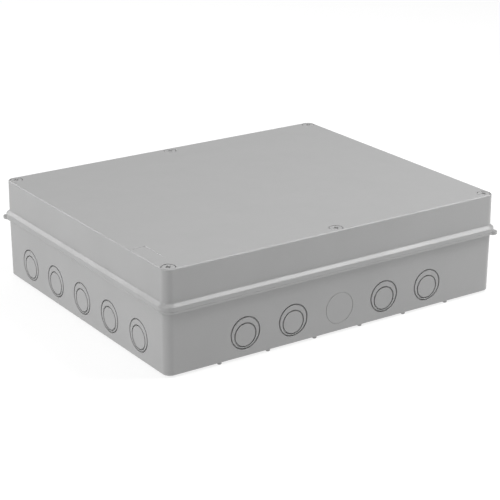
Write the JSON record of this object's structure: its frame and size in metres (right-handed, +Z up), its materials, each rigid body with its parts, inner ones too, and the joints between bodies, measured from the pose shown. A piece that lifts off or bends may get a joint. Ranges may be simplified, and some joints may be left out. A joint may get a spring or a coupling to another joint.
{
  "type": "electrical junction box",
  "caption": "Deep grey plastic surface-mounting junction box with a screwed lid on a raised rim, eccentric double-ring cable knockouts on every wall and short feet underneath.",
  "frame": {"origin": "centre of the footprint, on the plane that the feet stand on", "axes": "+X along the long side, +Y towards the back, +Z up from the feet to the lid"},
  "size_m": [0.4616, 0.3796, 0.1225],
  "materials": {
    "box_shell": "matte",
    "lid_shell": "matte",
    "seal_foam": "matte",
    "insert_brass": "satin",
    "screw_plastic": "satin",
    "washer_rubber": "matte",
    "cap_plastic": "satin"
  },
  "bodies": {
    "base": {"base": "box_shell", "screw_inserts": "insert_brass"},
    "lid": {"lid": "lid_shell", "lid_gasket": "seal_foam"},
    "screw_washer_front_left": {"screw_washer_front_left": "washer_rubber"},
    "lid_screw_front_left": {"lid_screw_front_left": "screw_plastic"},
    "screw_washer_front_middle": {"screw_washer_front_middle": "washer_rubber"},
    "lid_screw_front_middle": {"lid_screw_front_middle": "screw_plastic"},
    "screw_washer_front_right": {"screw_washer_front_right": "washer_rubber"},
    "lid_screw_front_right": {"lid_screw_front_right": "screw_plastic"},
    "screw_washer_back_left": {"screw_washer_back_left": "washer_rubber"},
    "lid_screw_back_left": {"lid_screw_back_left": "screw_plastic"},
    "screw_washer_back_middle": {"screw_washer_back_middle": "washer_rubber"},
    "lid_screw_back_middle": {"lid_screw_back_middle": "screw_plastic"},
    "screw_washer_back_right": {"screw_washer_back_right": "washer_rubber"},
    "lid_screw_back_right": {"lid_screw_back_right": "screw_plastic"},
    "fixing_cap_front_left": {"fixing_cap_front_left": "cap_plastic"},
    "fixing_cap_front_right": {"fixing_cap_front_right": "cap_plastic"},
    "fixing_cap_back_left": {"fixing_cap_back_left": "cap_plastic"},
    "fixing_cap_back_right": {"fixing_cap_back_right": "cap_plastic"}
  },
  "joints": [
    {"name": "lid_lift", "type": "slide", "parent": "base", "child": "lid", "axis": [0, 0, 1], "range_m": [0, 0.12]},
    {"name": "screw_rise_front_left", "type": "slide", "parent": "lid", "child": "screw_washer_front_left", "axis": [0, 0, 1], "range_m": [0, 0.007]},
    {"name": "screw_turn_front_left", "type": "hinge", "parent": "screw_washer_front_left", "child": "lid_screw_front_left", "pos_m": [-0.2162, -0.1752, 0.1222], "axis": [0, 0, 1], "range_deg": [0, 724]},
    {"name": "screw_rise_front_middle", "type": "slide", "parent": "lid", "child": "screw_washer_front_middle", "axis": [0, 0, 1], "range_m": [0, 0.007]},
    {"name": "screw_turn_front_middle", "type": "hinge", "parent": "screw_washer_front_middle", "child": "lid_screw_front_middle", "pos_m": [0, -0.1752, 0.1222], "axis": [0, 0, 1], "range_deg": [0, 724]},
    {"name": "screw_rise_front_right", "type": "slide", "parent": "lid", "child": "screw_washer_front_right", "axis": [0, 0, 1], "range_m": [0, 0.007]},
    {"name": "screw_turn_front_right", "type": "hinge", "parent": "screw_washer_front_right", "child": "lid_screw_front_right", "pos_m": [0.2162, -0.1752, 0.1222], "axis": [0, 0, 1], "range_deg": [0, 724]},
    {"name": "screw_rise_back_left", "type": "slide", "parent": "lid", "child": "screw_washer_back_left", "axis": [0, 0, 1], "range_m": [0, 0.007]},
    {"name": "screw_turn_back_left", "type": "hinge", "parent": "screw_washer_back_left", "child": "lid_screw_back_left", "pos_m": [-0.2162, 0.1752, 0.1222], "axis": [0, 0, 1], "range_deg": [0, 724]},
    {"name": "screw_rise_back_middle", "type": "slide", "parent": "lid", "child": "screw_washer_back_middle", "axis": [0, 0, 1], "range_m": [0, 0.007]},
    {"name": "screw_turn_back_middle", "type": "hinge", "parent": "screw_washer_back_middle", "child": "lid_screw_back_middle", "pos_m": [0, 0.1752, 0.1222], "axis": [0, 0, 1], "range_deg": [0, 724]},
    {"name": "screw_rise_back_right", "type": "slide", "parent": "lid", "child": "screw_washer_back_right", "axis": [0, 0, 1], "range_m": [0, 0.007]},
    {"name": "screw_turn_back_right", "type": "hinge", "parent": "screw_washer_back_right", "child": "lid_screw_back_right", "pos_m": [0.2162, 0.1752, 0.1222], "axis": [0, 0, 1], "range_deg": [0, 724]},
    {"name": "cap_pull_front_left", "type": "slide", "parent": "base", "child": "fixing_cap_front_left", "axis": [0, 0, 1], "range_m": [0, 0.03]},
    {"name": "cap_pull_front_right", "type": "slide", "parent": "base", "child": "fixing_cap_front_right", "axis": [0, 0, 1], "range_m": [0, 0.03]},
    {"name": "cap_pull_back_left", "type": "slide", "parent": "base", "child": "fixing_cap_back_left", "axis": [0, 0, 1], "range_m": [0, 0.03]},
    {"name": "cap_pull_back_right", "type": "slide", "parent": "base", "child": "fixing_cap_back_right", "axis": [0, 0, 1], "range_m": [0, 0.03]}
  ],
  "couplings": [
    {"joint": "screw_turn_front_left", "follows": "screw_rise_front_left", "rad_per_m": 1795.2},
    {"joint": "screw_turn_front_middle", "follows": "screw_rise_front_middle", "rad_per_m": 1795.2},
    {"joint": "screw_turn_front_right", "follows": "screw_rise_front_right", "rad_per_m": 1795.2},
    {"joint": "screw_turn_back_left", "follows": "screw_rise_back_left", "rad_per_m": 1795.2},
    {"joint": "screw_turn_back_middle", "follows": "screw_rise_back_middle", "rad_per_m": 1795.2},
    {"joint": "screw_turn_back_right", "follows": "screw_rise_back_right", "rad_per_m": 1795.2}
  ]
}
